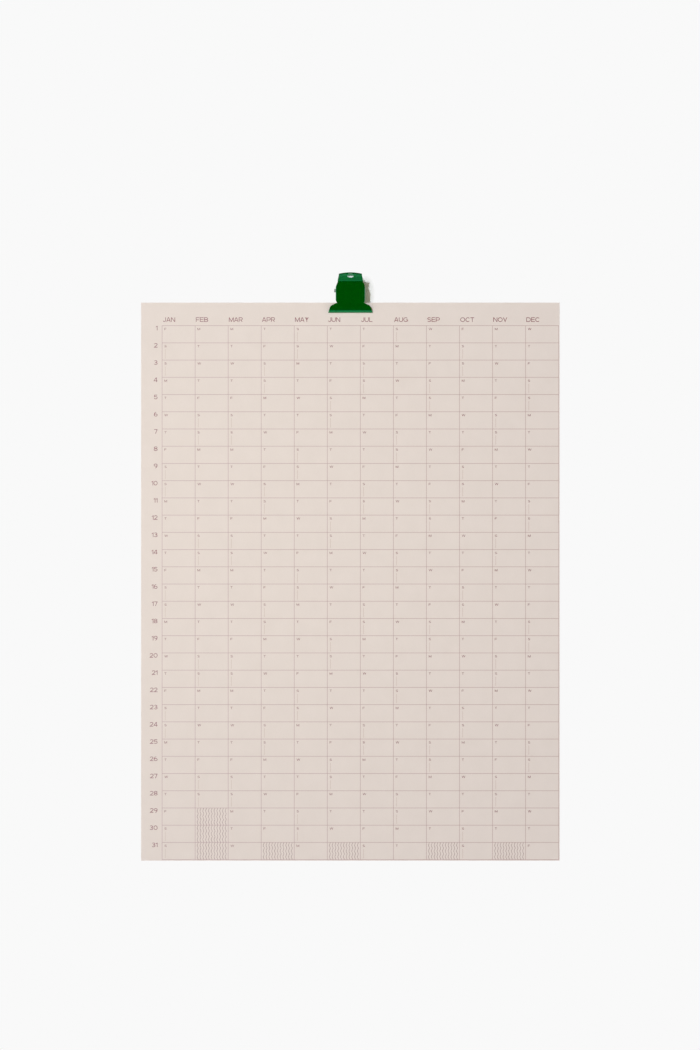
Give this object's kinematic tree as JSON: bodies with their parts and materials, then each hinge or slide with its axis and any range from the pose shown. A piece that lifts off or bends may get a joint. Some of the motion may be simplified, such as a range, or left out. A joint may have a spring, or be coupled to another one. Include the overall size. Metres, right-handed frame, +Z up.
{
  "type": "wall calendar",
  "caption": "Year-to-view wall planner: one large ruled sheet with months across and days down, hung from a sprung steel bulldog clip with painted jaws.",
  "frame": {"origin": "middle of the hanging hole in the clip's rear lever", "axes": "+Z up, +Y from the front of the sheet towards the wall, +X to the right of a person facing the calendar"},
  "size_m": [0.4572, 0.0345, 0.6418],
  "materials": {
    "paper": "uncoated warm white heavy stock",
    "ink": "matt grey-brown print",
    "green_paint": "smooth gloss enamel on pressed steel",
    "bright_steel": "bright nickel plate"
  },
  "bodies": {
    "rear_half": {"rear_jaw": "green_paint", "calendar_sheet": "paper", "month_rules": "ink", "day_rules": "ink", "weekend_marks": "ink", "blocked_days": "ink", "hinge_pin": "bright_steel", "torsion_spring": "bright_steel"},
    "front_half": {"front_jaw": "green_paint"}
  },
  "joints": [
    {"name": "jaw_hinge", "type": "hinge", "parent": "rear_half", "child": "front_half", "pos_m": [0, -0.01245, -0.01575], "axis": [-1, 0, 0], "range_deg": [0, 35], "stiffness_Nm_per_rad": 0.2, "springref_deg": -68.75, "deforming": ["torsion_spring"]}
  ]
}
